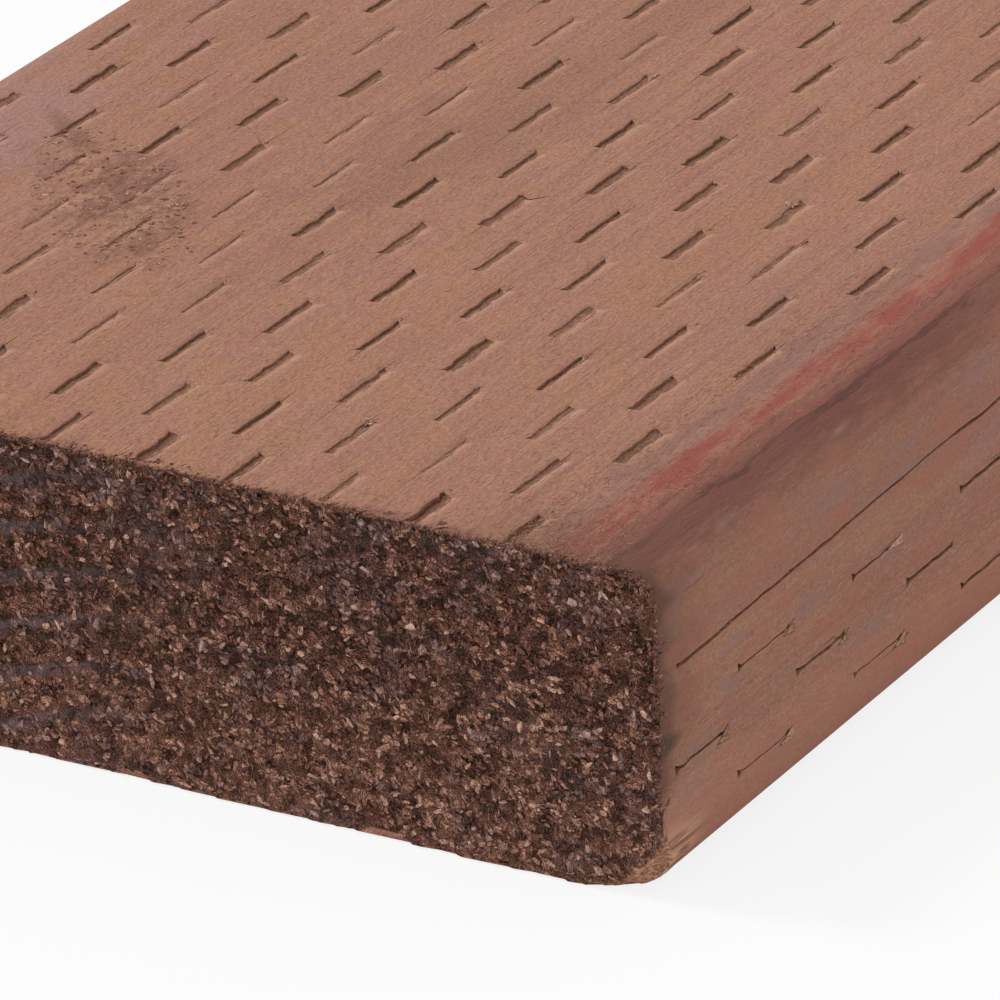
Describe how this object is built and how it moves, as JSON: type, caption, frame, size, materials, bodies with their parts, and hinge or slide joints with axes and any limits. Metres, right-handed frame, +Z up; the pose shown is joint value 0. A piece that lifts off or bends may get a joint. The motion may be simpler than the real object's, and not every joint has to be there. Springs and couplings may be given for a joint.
{
  "type": "pressure-treated lumber board",
  "caption": "Straight sawn softwood board with eased long edges and square-cut ends, brown preservative-treated and incised, for decks, fences and outdoor framing.",
  "frame": {"origin": "middle of the underside, where the board lies on the floor", "axes": "+X along the grain and the length, +Y across the width, +Z up through the thickness"},
  "size_m": [2.4384, 0.1396, 0.0381],
  "materials": {
    "treated_wood": "dry planed softwood with brown treatment stain, rows of incised slits and torn sawn ends"
  },
  "bodies": {
    "root": {"board": "treated_wood"}
  },
  "joints": []
}
